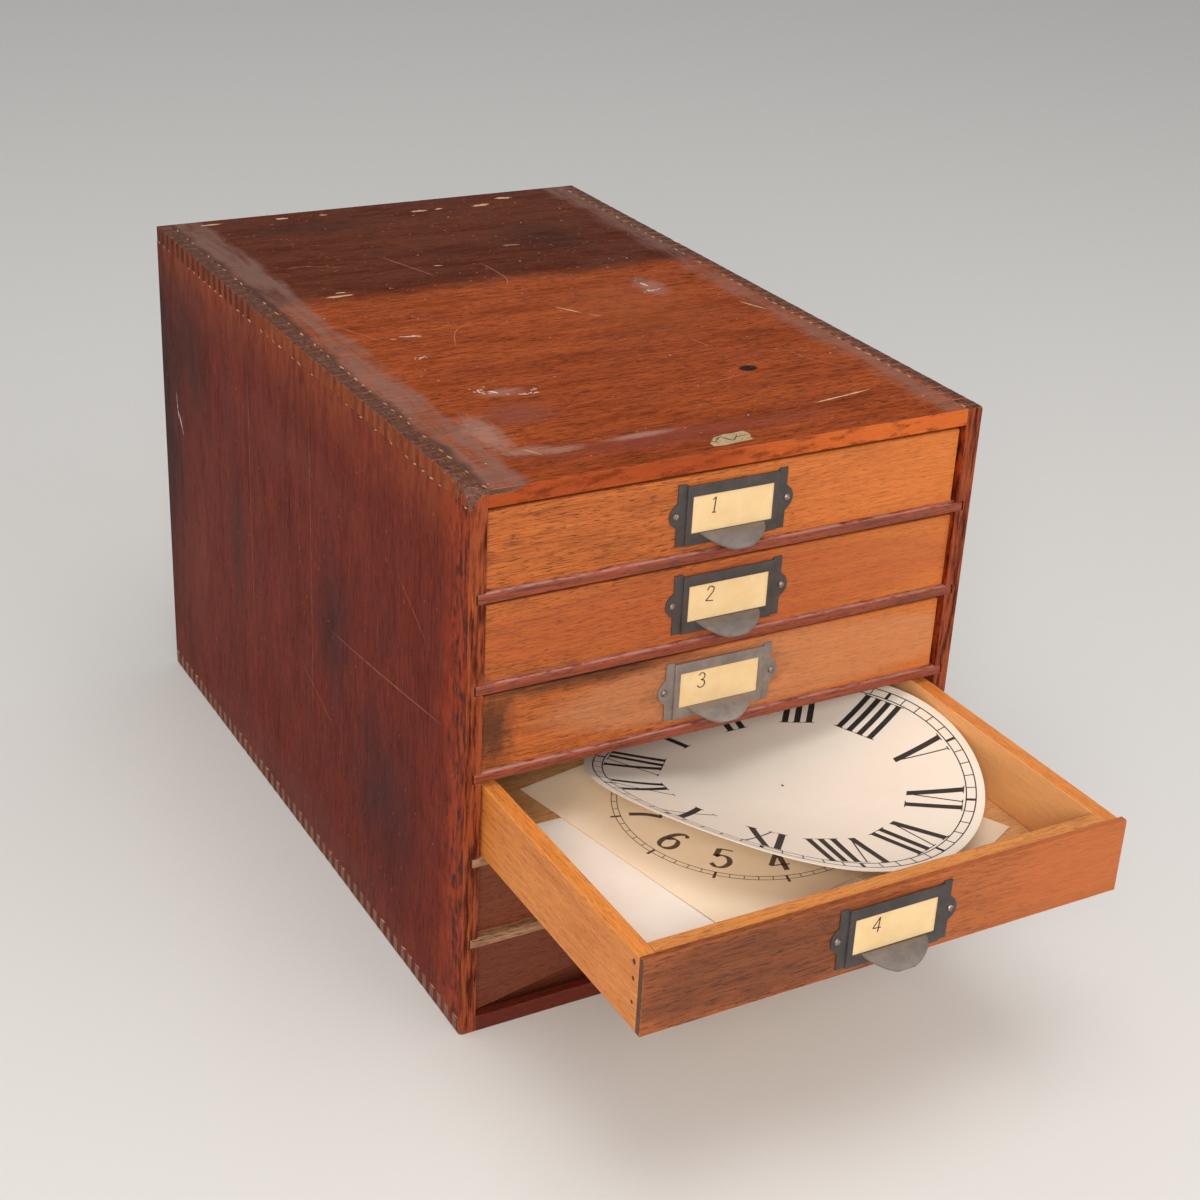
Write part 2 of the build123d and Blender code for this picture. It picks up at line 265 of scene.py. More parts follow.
def top_marks(tree, colour):
    """Grey bands along both side edges, a dark rear, dull smears, and a front edge rubbed to orange."""
    rear = near(tree, "Y", 44, 64, 7, 30, 0.7)
    colour = add(tree, "ShaderNodeMix", {0: rear, 6: colour, 7: "#2c120b"}, data_type="RGBA")
    for middle, reach, hue, share in (((30, -60, 318), (50, 9, 30), "#4f2218", 0.35),
                                      ((75, 130, 318), (40, 40, 30), "#2f1813", 0.45),
                                      ((-60, 200, 318), (60, 22, 30), "#2f1813", 0.4),
                                      ((-85, -150, 318), (26, 20, 30), "#7d4436", 0.6),
                                      ((-20, -208, 318), (110, 14, 30), "#7c3a2c", 0.6),
                                      ((60, -20, 318), (55, 70, 30), "#97502a", 0.3)):
        colour = smudge(tree, colour, middle, reach, hue, share)
    upper = turned_to(tree, "Z", 1)
    thin = streaks(tree, "Y", 60, 7, 0.3, 0.55, 1.0, 6.0)
    for start, end, share, hue, masks in ((-119, -124, 0.62, "#84675d", (upper, thin)),
                                          (126, 133, 0.5, "#84675d", (upper, thin)),
                                          (-138, -142, 0.8, "#4a3026", (upper,)),
                                          (144, 147, 0.8, "#4a3026", (upper,))):
        band = near(tree, "X", start, end, 4, 26, share)
        for mask in masks:
            band = add(tree, "ShaderNodeMath", {0: band, 1: mask}, operation="MULTIPLY")
        colour = add(tree, "ShaderNodeMix", {0: band, 6: colour, 7: hue}, data_type="RGBA")
    for middle, reach, share in (((-40, -201, 318), (26, 4, 9), 0.55), ((-88, -203, 318), (18, 5, 9), 0.45),
                                 ((-113, -170, 318), (12, 34, 9), 0.5), ((-104, -198, 318), (16, 7, 9), 0.4),
                                 ((88, 12, 318), (12, 22, 9), 0.35), ((-78, -120, 318), (16, 7, 9), 0.35)):
        colour = smudge(tree, colour, middle, reach, "#a8897e", share, 1.2)
    colour = smudge(tree, colour, (65.3, -136.4, 318), (6.5, 5, 6), "#120908", 0.97, 0.6, 0.3)
    # many small rubbed specks, 1 to 2 mm long
    specks = streaks(tree, "X", 3.2, 1.4, 0.68, 0.72, 0.5, 3.0)
    colour = add(tree, "ShaderNodeMix", {0: specks, 6: colour, 7: "#b9704a"}, data_type="RGBA")
    warm = near(tree, "X", -20, 90, 25, 30)
    front = add(tree, "ShaderNodeMix", {0: warm, 6: "#9a4522", 7: "#c8652f"}, data_type="RGBA")
    patches = streaks(tree, "X", 20, 6, 0.5, 0.6, 0.65, 6.0)
    front = add(tree, "ShaderNodeMix", {0: patches, 6: front, 7: "#55200f"}, data_type="RGBA")
    edge = turned_to(tree, "Y", -1, 0.85)
    return add(tree, "ShaderNodeMix", {0: edge, 6: colour, 7: front}, data_type="RGBA")


def side_marks(tree, colour):
    """Red-brown bands by the joints and the front arris, dark blotches, and a stile streaked in orange."""
    face = turned_to(tree, "X", 0)
    for axis, start, end, share, hue in (("Z", 272, 304, 0.7, "#92431f"), ("Y", -200, -226, 0.85, "#a5401c"),
                                         ("Z", 26, 6, 0.35, "#7a4434")):
        band = near(tree, axis, start, end, 10, 22, share)
        patchy = streaks(tree, "Z", 18, 5, 0.36, 0.56, 1.0, 6.0)
        for mask in (face, patchy):
            band = add(tree, "ShaderNodeMath", {0: band, 1: mask}, operation="MULTIPLY")
        colour = add(tree, "ShaderNodeMix", {0: band, 6: colour, 7: hue}, data_type="RGBA")
    for middle, reach, hue, share in (((-152, -60, 165), (30, 34, 60), "#381b1d", 0.7),
                                      ((-152, -130, 90), (30, 60, 70), "#381b1d", 0.7),
                                      ((-152, 95, 160), (30, 20, 60), "#43211e", 0.5),
                                      ((-152, 170, 110), (30, 36, 60), "#7a3d28", 0.35),
                                      ((-152, -20, 250), (30, 150, 22), "#7a3b28", 0.3),
                                      ((-152, 180, 250), (30, 60, 60), "#35120b", 0.65),
                                      ((-152, 240, 190), (30, 60, 190), "#1e0906", 0.85),
                                      ((-152, 0, 20), (30, 220, 26), "#6b4038", 0.35)):
        colour = smudge(tree, colour, middle, reach, hue, share, 1.3, 0.9)
    # ragged black grime where hands have taken the polish off the front arris
    hands = near(tree, "Y", -216, -224, 12, 9)
    black = streaks(tree, "Z", 14, 4, 0.46, 0.58, 0.85, 6.0)
    black = add(tree, "ShaderNodeMath", {0: hands, 1: black}, operation="MULTIPLY")
    colour = add(tree, "ShaderNodeMix", {0: black, 6: colour, 7: "#33140f"}, data_type="RGBA")
    dark = streaks(tree, "Z", 26, 2.6, 0.42, 0.6, 1.0, 6.0)
    stile = add(tree, "ShaderNodeMix", {0: dark, 6: "#93492b", 7: "#431a12"}, data_type="RGBA")
    bright = streaks(tree, "Z", 30, 2.2, 0.6, 0.72, 0.8, 6.0)
    stile = add(tree, "ShaderNodeMix", {0: bright, 6: stile, 7: "#c0642f"}, data_type="RGBA")
    front = turned_to(tree, "Y", -1, 0.95)
    colour = add(tree, "ShaderNodeMix", {0: front, 6: colour, 7: stile}, data_type="RGBA")
    dry = streaks(tree, "Y", 5, 1.5, 0.42, 0.6, 1.0)
    ends = add(tree, "ShaderNodeMix", {0: dry, 6: "#6e4c3e", 7: "#3d261d"}, data_type="RGBA")
    return add(tree, "ShaderNodeMix", {0: turned_to(tree, "Z", 1, 0.9), 6: colour, 7: ends}, data_type="RGBA")


def shelf_marks(tree, colour):
    """A painted highlight: the rounded upper arris drawn pinkish grey, with dark nicks."""
    upper = turned_to(tree, "Z", 1, 0.75)
    front = near(tree, "Y", -228, -233, 0.3)
    nicks = streaks(tree, "X", 12, 2.5, 0.62, 0.5, 1.0)
    for mask in (front, nicks):
        upper = add(tree, "ShaderNodeMath", {0: upper, 1: mask}, operation="MULTIPLY")
    # painted highlight on the rounded arris, pinkish grey
    return add(tree, "ShaderNodeMix", {0: upper, 6: colour, 7: "#b07c70"}, data_type="RGBA")


def facing_marks(tree, colour):
    """Painted light paler to the right, a stain to the depth in the mesh attribute tone that on the two
    lowest facings is also painted shade, grime, and painted shade and light on the open facing.

    The marks lie where the facings stand: y -232 for a drawer that is in, -399 for the open one.
    """
    tone = add(tree, "ShaderNodeAttribute", out="Fac", attribute_name="tone")
    # painted light: every facing is drawn paler towards the right, where more light falls
    painted_light_right = near(tree, "X", -40, 140, 20, 60, 0.55)
    colour = add(tree, "ShaderNodeMix", {0: painted_light_right, 6: colour, 7: "#dc7f3a"}, data_type="RGBA")
    # the stain of each facing, which on the two lowest facings is partly painted shade
    colour = add(tree, "ShaderNodeMix", {0: tone, 6: colour, 7: "#4e2420"}, data_type="RGBA")
    colour = smudge(tree, colour, (0, -232, 233), (170, 9, 23), "#a04a2b", 0.4, 0.2, 0.2)
    colour = smudge(tree, colour, (30, -232, 183), (150, 9, 23), "#b98a66", 0.35, 0.2, 0.2)
    # grime on the third facing; the last patch, on the open facing's left, is painted shade
    for middle, reach, share in (((-137, -232, 183), (17, 9, 30), 0.8), ((-80, -232, 205), (85, 9, 10), 0.8),
                                 ((-2, -232, 183), (48, 9, 20), 0.7), ((-80, -399, 132), (110, 9, 40), 0.55)):
        colour = smudge(tree, colour, middle, reach, "#3a2117", share, 1.1)
    # painted light: an orange patch on the open facing's right
    return smudge(tree, colour, (110, -399, 132), (60, 9, 30), "#bd6334", 0.5)


def inner_faces(tree, colour):
    """The faces that look into the drawer are drawn paler, partly for their unpolished wood and partly as
    painted light on the lit inner walls.
    """
    facing = add(tree, "ShaderNodeSeparateXYZ", {0: add(tree, "ShaderNodeTexCoord", out="Normal")}, out="X")
    place = add(tree, "ShaderNodeSeparateXYZ", {0: add(tree, "ShaderNodeTexCoord", out="Object")}, out="X")
    inward = add(tree, "ShaderNodeMath", {0: facing, 1: place}, operation="MULTIPLY")
    pale = add(tree, "ShaderNodeMapRange",
               {"Value": inward, "From Min": -0.05, "From Max": -0.1, "To Max": 0.55})
    # paler inner wood and painted light on the inner walls
    return add(tree, "ShaderNodeMix", {0: pale, 6: colour, 7: "#ffc88a"}, data_type="RGBA")


# deep red-brown french polish over mahogany, rubbed dull along the edges
top_wood = wood("french_polished_mahogany_top", "X", "#b0531d", "#7e310f", "#3c1406", "#96552f", "#b07a58",
                line=(50, 1.8), fibre=0.95, streak=0.8, open_pores=0.7, roughness=0.55, gloss=0.06,
                dirt="#43190e", dirt_share=0.38, marks=top_marks)
# darker polish with upright grain, nearly plum in the middle of the board
side_wood = wood("polished_mahogany_sides", "Z", "#842a13", "#5c1a0b", "#2a0c07", "#6f4a3a", "#c8603a",
                 figure=(120, 30), line=(22, 1.3), fibre=0.65, streak=0.8, gloss=0.06, dirt="#361513",
                 dirt_share=0.15, marks=side_marks)
# the same polish on the base, with pale dry end grain
base_wood = wood("polished_mahogany_base", "X", "#6d2a19", "#501c12", "#2a0e0a", "#8c6c5a", "#b0583a",
                 gloss=0.2, dirt="#3a1714")
# unpolished thin board, greyed by dust
back_wood = wood("bare_thin_back_board", "X", "#8a5f40", "#70482d", "#3f2417", "#5d3c28", "#a67c58",
                 roughness=0.65, gloss=0.25)
# stained shelf edge, rounded, with a painted pinkish grey highlight on its top arris
shelf_wood = wood("worn_stained_shelf_edge", "X", "#9a4526", "#6c2a17", "#2f110a", "#6a4b38", "#b0786a",
                  figure=(90, 6), streak=0.6, roughness=0.42, gloss=0.5, marks=shelf_marks)
# shelf edge worn down to the dry wood, specked with dark pores
raw_shelf_wood = wood("bare_shelf_edge", "X", "#ac8060", "#835c42", "#33201a", "#6a4b38", "#dca173",
                      figure=(90, 5), streak=0.6, open_pores=0.8, roughness=0.65, gloss=0.25)
# oiled straight-grained facing, warm brown with short dark flecks
facing_wood = wood("oiled_drawer_facing", "X", "#c57035", "#a25224", "#4d220c", "#6d4029", "#dc8f5a",
                   figure=(160, 9), line=(50, 1.3), streak=0.6, open_pores=0.75, roughness=0.45, gloss=0.25,
                   dirt="#6b3519", marks=facing_marks)
# dry inner boards, a paler cut of the same wood
box_wood = wood("bare_drawer_front_and_back", "X", "#d8924f", "#bf743a", "#84481f", "#a3683c", "#e8b482",
                figure=(160, 9), streak=0.35, roughness=0.6, gloss=0.25, dirt="#7f4a28", dirt_share=0.2)
# orange pine-like sides polished by years of sliding
side_board_wood = wood("bare_drawer_sides", "Y", "#e69648", "#cc7430", "#98501f", "#a8663a", "#f2c08a",
                       figure=(200, 8), streak=0.45, open_pores=0.5, gloss=0.3, dirt="#94522a",
                       dirt_share=0.2, marks=inner_faces)
# thin dusty bottom boards
floor_board_wood = wood("bare_drawer_bottom", "X", "#e0ad78", "#c8925e", "#8f5d36", "#8c6442", "#e6be90",
                        streak=0.3, roughness=0.65, gloss=0.25, dirt="#6f4a30", dirt_share=0.25)
# broken wood, grey with age and dirt
old_break = wood("old_splintered_breaks", "Y", "#80584a", "#583a2f", "#2a1813", "#6f4d40", "#a07a68",
                 line=(12, 1.2), streak=0.7, roughness=0.8, gloss=0.15)


# ---------------------------------------------------------------- other finishes
def mottle(tree, size, low=0.4, high=0.7, share=1.0, detail=4.0):
    """Even clouds of the given size in mm, 0 below low and share above high."""
    place = add(tree, "ShaderNodeTexCoord", out="Object")
    cloud = add(tree, "ShaderNodeTexNoise",
                {"Vector": place, "Scale": 1 / (size * MM), "Detail": detail, "Roughness": 0.65})
    return add(tree, "ShaderNodeMapRange",
               {"Value": cloud, "From Min": low, "From Max": high, "To Max": share})


def japanned_steel():
    """Black stoving japan on pressed steel: satin, and grey bare metal where fingers rub it, which on the
    scoops is partly a painted highlight.
    """
    material, tree = new_material("black_japanned_pressed_steel")
    wear = add(tree, "ShaderNodeAttribute", out="Fac", attribute_name="wear")
    clouds = mottle(tree, 7, 0.3, 0.7)
    patchy = add(tree, "ShaderNodeMath", {0: clouds, 1: 0.4, 2: 0.6}, operation="MULTIPLY_ADD")
    bare = add(tree, "ShaderNodeMath", {0: wear, 1: patchy}, operation="MULTIPLY")
    rubbed = add(tree, "ShaderNodeMath", {0: edge_wear(tree, 0.3), 1: mottle(tree, 2.5, 0.35, 0.6, 0.7)},
                 operation="MULTIPLY")
    bare = add(tree, "ShaderNodeMath", {0: bare, 1: rubbed}, operation="MAXIMUM", use_clamp=True)
    colour = add(tree, "ShaderNodeMix", {0: mottle(tree, 9), 6: "#1d1a1b", 7: "#332d2c"}, data_type="RGBA")
    # bare grey metal, on the scoops partly a painted highlight
    colour = add(tree, "ShaderNodeMix", {0: bare, 6: colour, 7: "#968a83"}, data_type="RGBA")
    metal = add(tree, "ShaderNodeMath", {0: bare, 1: 0.45}, operation="MULTIPLY")
    grit = mottle(tree, 0.8, 0.3, 0.7, 1.0, 2.0)
    shine = add(tree, "ShaderNodeMapRange", {"Value": grit, "To Min": 0.36, "To Max": 0.52})
    bump = add(tree, "ShaderNodeBump", {"Height": grit, "Strength": 0.2, "Distance": 0.04 * MM})
    finish_material(tree, {"Base Color": colour, "Roughness": shine, "Metallic": metal, "Normal": bump})
    return material


def pin_iron():
    """Dull turned iron of the pin heads, pitted and brownish."""
    material, tree = new_material("dull_iron_pin_heads")
    pits = mottle(tree, 1.2)
    colour = add(tree, "ShaderNodeMix", {0: pits, 6: "#a3968e", 7: "#453833"}, data_type="RGBA")
    shine = add(tree, "ShaderNodeMapRange", {"Value": pits, "To Min": 0.32, "To Max": 0.55})
    finish_material(tree, {"Base Color": colour, "Roughness": shine, "Metallic": 0.85})
    return material


def paper(name, hue, aged, stain_mm=45.0, share=0.6, roughness=0.8):
    """Uncoated card and paper: soft mottling, yellowed patches, darker handled edges."""
    material, tree = new_material(name)
    edge = add(tree, "ShaderNodeMath", {0: edge_wear(tree, 0.8), 1: 0.35}, operation="MULTIPLY")
    stain = add(tree, "ShaderNodeMath", {0: mottle(tree, stain_mm, 0.35, 0.75, share), 1: edge},
                operation="MAXIMUM")
    colour = add(tree, "ShaderNodeMix", {0: stain, 6: hue, 7: aged}, data_type="RGBA")
    # paper fibres are drawn 0.7 mm across so that they show
    bump = add(tree, "ShaderNodeBump", {"Height": mottle(tree, 0.7), "Strength": 0.15, "Distance": 0.03 * MM})
    finish_material(tree, {"Base Color": colour, "Roughness": roughness, "Normal": bump})
    return material


def thin_colour(name, hue, thin, size=0.9, roughness=0.6):
    """Ink, wax, paint or a broken surface: one colour that thins out to another in small patches."""
    material, tree = new_material(name)
    patches = mottle(tree, size, 0.45, 0.75, 0.7)
    colour = add(tree, "ShaderNodeMix", {0: patches, 6: hue, 7: thin}, data_type="RGBA")
    finish_material(tree, {"Base Color": colour, "Roughness": roughness})
    return material


# thin black stoved varnish, satin, grey at its edges
holder_metal = japanned_steel()
# small domed heads, grey-brown
pin_metal = pin_iron()
# buff card, handled and browned
label_paper = paper("yellowed_index_card", "#e3c798", "#d2ad78", 18.0)
# plain rag paper, nearly white
sheet_paper = paper("white_writing_paper", "#f3ebe2", "#eadccb")
# thin card, a little creamier than the sheet
small_card_paper = paper("thin_white_card", "#ead9c2", "#d9c3a2")
# cream printing card that shows the darkest of the papers
square_dial_paper = paper("cream_printed_card", "#f8e6cc", "#edd5b2")
# smooth coated white face
round_dial_paper = paper("white_faced_dial_card", "#f0e7da", "#e6d9c6", 70.0, 0.5, 0.5)
# solid letterpress black, a little grey where it thins
dial_ink = thin_colour("black_printing_ink", "#262524", "#45423f")
# older print, faded to brown
brown_ink = thin_colour("faded_brown_printing_ink", "#54453a", "#7d6c5b")
# written with a fine nib
pen_ink = thin_colour("brown_pen_ink", "#33241c", "#6b5442", 1.5)
# dark wax pressed over the heads of brads
filler = thin_colour("dark_wax_filler", "#3d2013", "#6d3d22")
# raw wood that shows in splinters and chips, buff
splinter = thin_colour("pale_broken_wood", "#c9a27a", "#9c6844", 1.6)
# thin orange scratches through the polish
scratch = thin_colour("scratched_polish", "#b06540", "#8a4527", 1.6)
# old white paint specks, chalky
chalk = thin_colour("old_white_paint_flecks", "#cdbfb4", "#a88d7d", 1.6, 0.9)
# torn and rubbed gummed paper, buff
tear_paper = thin_colour("torn_label_remnant", "#b09873", "#6d563c", 2.2, 0.9)
# pencil-dark rubbed marks on the torn paper
smear = thin_colour("dark_rubbed_marks", "#3c2a20", "#6d563c", 1.2, 0.9)


# ---------------------------------------------------------------- pieces made from the solids
slot_of_node = {row["node"]: row["material_slot"] for row in frame["record"]["subparts"]}


def merged_copy(node):
    """The node's mesh as a bmesh, welded, with its flat facets joined."""
    shape = bmesh.new()
    shape.from_mesh(nodes[node].data)
    bmesh.ops.remove_doubles(shape, verts=shape.verts, dist=0.02 * MM)
    bmesh.ops.dissolve_limit(shape, angle_limit=math.radians(0.5), verts=shape.verts, edges=shape.edges,
                             use_dissolve_boundaries=False)
    return shape


def new_piece(name, shape, *materials):
    """A bmesh as an object of the scene."""
    mesh = bpy.data.meshes.new(name)
    shape.to_mesh(mesh)
    shape.free()
    for material in materials:
        mesh.materials.append(material)
    piece = bpy.data.objects.new(name, mesh)
    bpy.context.scene.collection.objects.link(piece)
    return piece


def settle(piece):
    """Turns a piece with modifiers into a plain mesh."""
    graph = bpy.context.evaluated_depsgraph_get()
    mesh = bpy.data.meshes.new_from_object(piece.evaluated_get(graph))
    piece.modifiers.clear()
    piece.data = mesh


def ease_arrises(piece, width, segments=2):
    """Rounds the sharp edges of a piece by a width in mm."""
    eased = piece.modifiers.new("eased_arrises", "BEVEL")
    eased.width = width * MM
    eased.segments = segments
    eased.limit_method = "ANGLE"
    eased.angle_limit = math.radians(32)
    eased.use_clamp_overlap = True


def shade_by_angle(mesh, degrees):
    """Smooth faces, with edges sharper than the angle kept crisp."""
    shape = bmesh.new()
    shape.from_mesh(mesh)
    for face in shape.faces:
        face.smooth = True
    for edge in shape.edges:
        edge.smooth = len(edge.link_faces) == 2 and edge.calc_face_angle(0) < math.radians(degrees)
    shape.to_mesh(mesh)
    shape.free()


def rides(piece, body, slot, *stands_for):
    """Ties a finished piece to its body and hides the nodes that it stands for; the slot is not used."""
    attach(piece, body)
    if stands_for:
        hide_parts(*stands_for)


def spread_attribute(piece, name, value):
    """The same number on every point of a piece, for its material to read."""
    attribute = piece.data.attributes.new(name, "FLOAT", "POINT")
    attribute.data.foreach_set("value", [value] * len(piece.data.vertices))


def uneven_fingers(shape, axis, middle, half_span, depth, seed):
    """Each finger's end is moved in a little, as hand cleaned joints are."""
    chance = random.Random(seed)
    moves = {}
    for vertex in shape.verts:
        reach = vertex.co[axis] - middle
        if abs(abs(reach) - half_span) > 0.1 * MM:
            continue
        faces = vertex.link_faces
        centre = sum((face.calc_center_median() for face in faces), Vector()) / len(faces)
        index = (int((centre.y / MM - front_of_case) / finger_width), reach > 0)
        move = moves.setdefault(index, chance.uniform(0, depth))
        vertex.co[axis] -= math.copysign(move * MM, reach)


def volume_of(piece):
    """The volume that a closed piece holds."""
    shape = bmesh.new()
    shape.from_mesh(piece.data)
    volume = shape.calc_volume()
    shape.free()
    return volume


def break_lumps(name, places, seed):
    """Rough lumps, each a middle and a reach in mm, that cut broken hollows out of a board."""
    shape = bmesh.new()
    for middle, reach in places:
        made = bmesh.ops.create_icosphere(shape, subdivisions=2, radius=1.0)["verts"]
        for vertex in made:
            rough = 1 + 0.35 * noise.noise(vertex.co * 2.3 + Vector((seed, middle[0], middle[1])))
            vertex.co = Vector([m + c * r * rough for m, c, r in zip(middle, vertex.co, reach)]) * MM
    return new_piece(name, shape, old_break)


def board(node, material, bevel, tone=None, fingers=None, breaks=None):
    """One wooden board with eased arrises and broken places, in place of its solid."""
    shape = merged_copy(node)
    if fingers:
        uneven_fingers(shape, *fingers)
    piece = new_piece(node + "_board", shape, material)
    ease_arrises(piece, bevel)
    settle(piece)
    if breaks:
        before = volume_of(piece)
        lumps = break_lumps(node + "_lumps", breaks, 4)
        bite = piece.modifiers.new("broken_places", "BOOLEAN")
        bite.object = lumps
        bite.operation = "DIFFERENCE"
        bite.solver = "EXACT"
        bite.use_self = True
        bite.material_mode = "TRANSFER"
        settle(piece)
        bpy.data.objects.remove(lumps)
        if not 0.98 * before < volume_of(piece) <= before:
            raise ValueError(f"the breaks take too much off {node}: {before} to {volume_of(piece)}")
    if tone is not None:
        spread_attribute(piece, "tone", tone)
    rides(piece, body_of_node[node], slot_of_node[node], node)


# where the boards are broken, each a middle and a reach
top_breaks = [((-152, -235, 319), (8, 8, 5.6)), ((-137, -237.2, 316.8), (18, 3.8, 1.9)),
              ((-152.8, -225, 319), (5, 3.4, 3.6)), ((-153, -216, 318.8), (4, 2.8, 2.6)),
              ((-153, -206, 319), (3, 3, 1.9)), ((-153.2, -120, 319.2), (2, 5, 1.6)),
              ((-153.2, 60, 319.2), (2, 4, 1.5)), ((153, -236, 319), (3, 2.6, 2)),
              ((100, -235.8, 318.9), (7, 1.3, 1.1)), ((-30, -235.9, 319), (4, 1.2, 1.1)),
              ((-71, 235.8, 318.9), (6, 1.6, 1.2)), ((30, 235.8, 318.9), (9, 1.6, 1.2)),
              ((91, 235.8, 318.9), (5, 1.6, 1.2)), ((153.2, 90, 319), (2, 6, 1.5))]
side_breaks = [((-152.5, -236, 313), (3.2, 3.4, 5)), ((-153.4, -222, 314), (1.8, 3, 3)),
               ((-153.2, -235.6, 205), (1.3, 1.2, 7)), ((-153.2, -235.8, 96), (1.4, 1.2, 4)),
               ((-153, -235.8, 1), (2.6, 2.4, 4)), ((-153, 235.6, 0), (2.4, 2.4, 5))]
half_width = case_half_width * MM
half_height = case_height * MM / 2
board("case_top", top_wood, 0.35, fingers=(0, 0.0, half_width, 0.25, 3), breaks=top_breaks)
board("case_bottom", base_wood, 0.35, fingers=(0, 0.0, half_width, 0.25, 5))
board("case_side_left", side_wood, 0.4, fingers=(2, half_height, half_height, 0.2, 7),
      breaks=top_breaks + side_breaks)
board("case_side_right", side_wood, 0.4, fingers=(2, half_height, half_height, 0.2, 9), breaks=top_breaks)
board("case_back", back_wood, 0.3)
for number in range(1, drawer_count):
    board(f"shelf_{number}", shelf_wood if number <= 3 else raw_shelf_wood, 0.6)
# how dark each facing is stained; the two lowest are dark partly for their wood and partly as painted shade
# under the open drawer
facing_stains_and_shade = (0.0, 0.1, 0.05, 0.3, 0.76, 0.8)
for number, tone in enumerate(facing_stains_and_shade, 1):
    board(f"drawer_{number}_facing", facing_wood, 0.45, tone)
    board(f"drawer_{number}_front", box_wood, 0.4)
    board(f"drawer_{number}_back", box_wood, 0.4)
    board(f"drawer_{number}_bottom", floor_board_wood, 0.2)
    for side in ("left", "right"):
        board(f"drawer_{number}_side_{side}", side_board_wood, 0.6)


# ---------------------------------------------------------------- label frames and papers
# how far the japan has gone from each frame; the scoops that fingers pull are rubbed further, to a bare grey
# that is partly a painted highlight on their tops
frame_wear = (0.12, 0.12, 0.9, 0.08, 0.15, 0.15)
scoop_wear_and_highlight = 0.62
frame_depth = 2.4
for number, wear in enumerate(frame_wear, 1):
    node = f"drawer_{number}_label_holder"
    piece = new_piece(f"drawer_{number}_label_frame", merged_copy(node), holder_metal)
    ease_arrises(piece, 0.18)
    settle(piece)
    shade_by_angle(piece.data, 40)
    spread_attribute(piece, "wear", wear)
    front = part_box(f"drawer_{number}_facing")[0][1] - frame_depth * MM
    for vertex, point in zip(piece.data.vertices, piece.data.attributes["wear"].data):
        if vertex.co.y < front:
            point.value = max(wear, scoop_wear_and_highlight)
    rides(piece, f"drawer_{number}", "japanned_steel", node)
    card = nodes[f"drawer_{number}_label_card"].data
    card.materials.clear()
    card.materials.append(label_paper)

nodes["round_dial"].data.materials.clear()
nodes["round_dial"].data.materials.append(round_dial_paper)


def separate_papers():
    """The three loose papers under the round dial, each in its own stock, told apart by their levels."""
    sheet_level, small_card_level = 0.1176, 0.118
    shape = merged_copy("flat_papers")
    for face in shape.faces:
        linked, todo = set(face.verts), list(face.verts)
        while todo:
            for edge in todo.pop().link_edges:
                for vertex in edge.verts:
                    if vertex not in linked:
                        linked.add(vertex)
                        todo.append(vertex)
        level = max(vertex.co.z for vertex in linked)
        face.material_index = (level >= sheet_level) + (level >= small_card_level)
    piece = new_piece("flat_paper_sheets", shape, sheet_paper, small_card_paper, square_dial_paper)
    rides(piece, "drawer_4", "flat_paper", "flat_papers")


separate_papers()


# ---------------------------------------------------------------- Geometry Nodes: rings, heads and flecks
def open_tree(name, sizes):
    """A node tree with named inputs, its input node and the geometry it is given."""
    tree = bpy.data.node_groups.new(name, "GeometryNodeTree")
    tree.interface.new_socket("Geometry", in_out="INPUT", socket_type="NodeSocketGeometry")
    for size, kind in sizes.items():
        tree.interface.new_socket(size, in_out="INPUT", socket_type="NodeSocket" + kind)
    tree.interface.new_socket("Geometry", in_out="OUTPUT", socket_type="NodeSocketGeometry")
    return tree, tree.nodes.new("NodeGroupInput").outputs


def close_tree(tree, geometry, finish):
    """Realizes the instances, gives them their finish and ends the tree."""
    real = add(tree, "GeometryNodeRealizeInstances", {"Geometry": geometry})
    finished = add(tree, "GeometryNodeSetMaterial", {"Geometry": real, "Material": finish})
    add(tree, "NodeGroupOutput", {"Geometry": finished})
    return tree


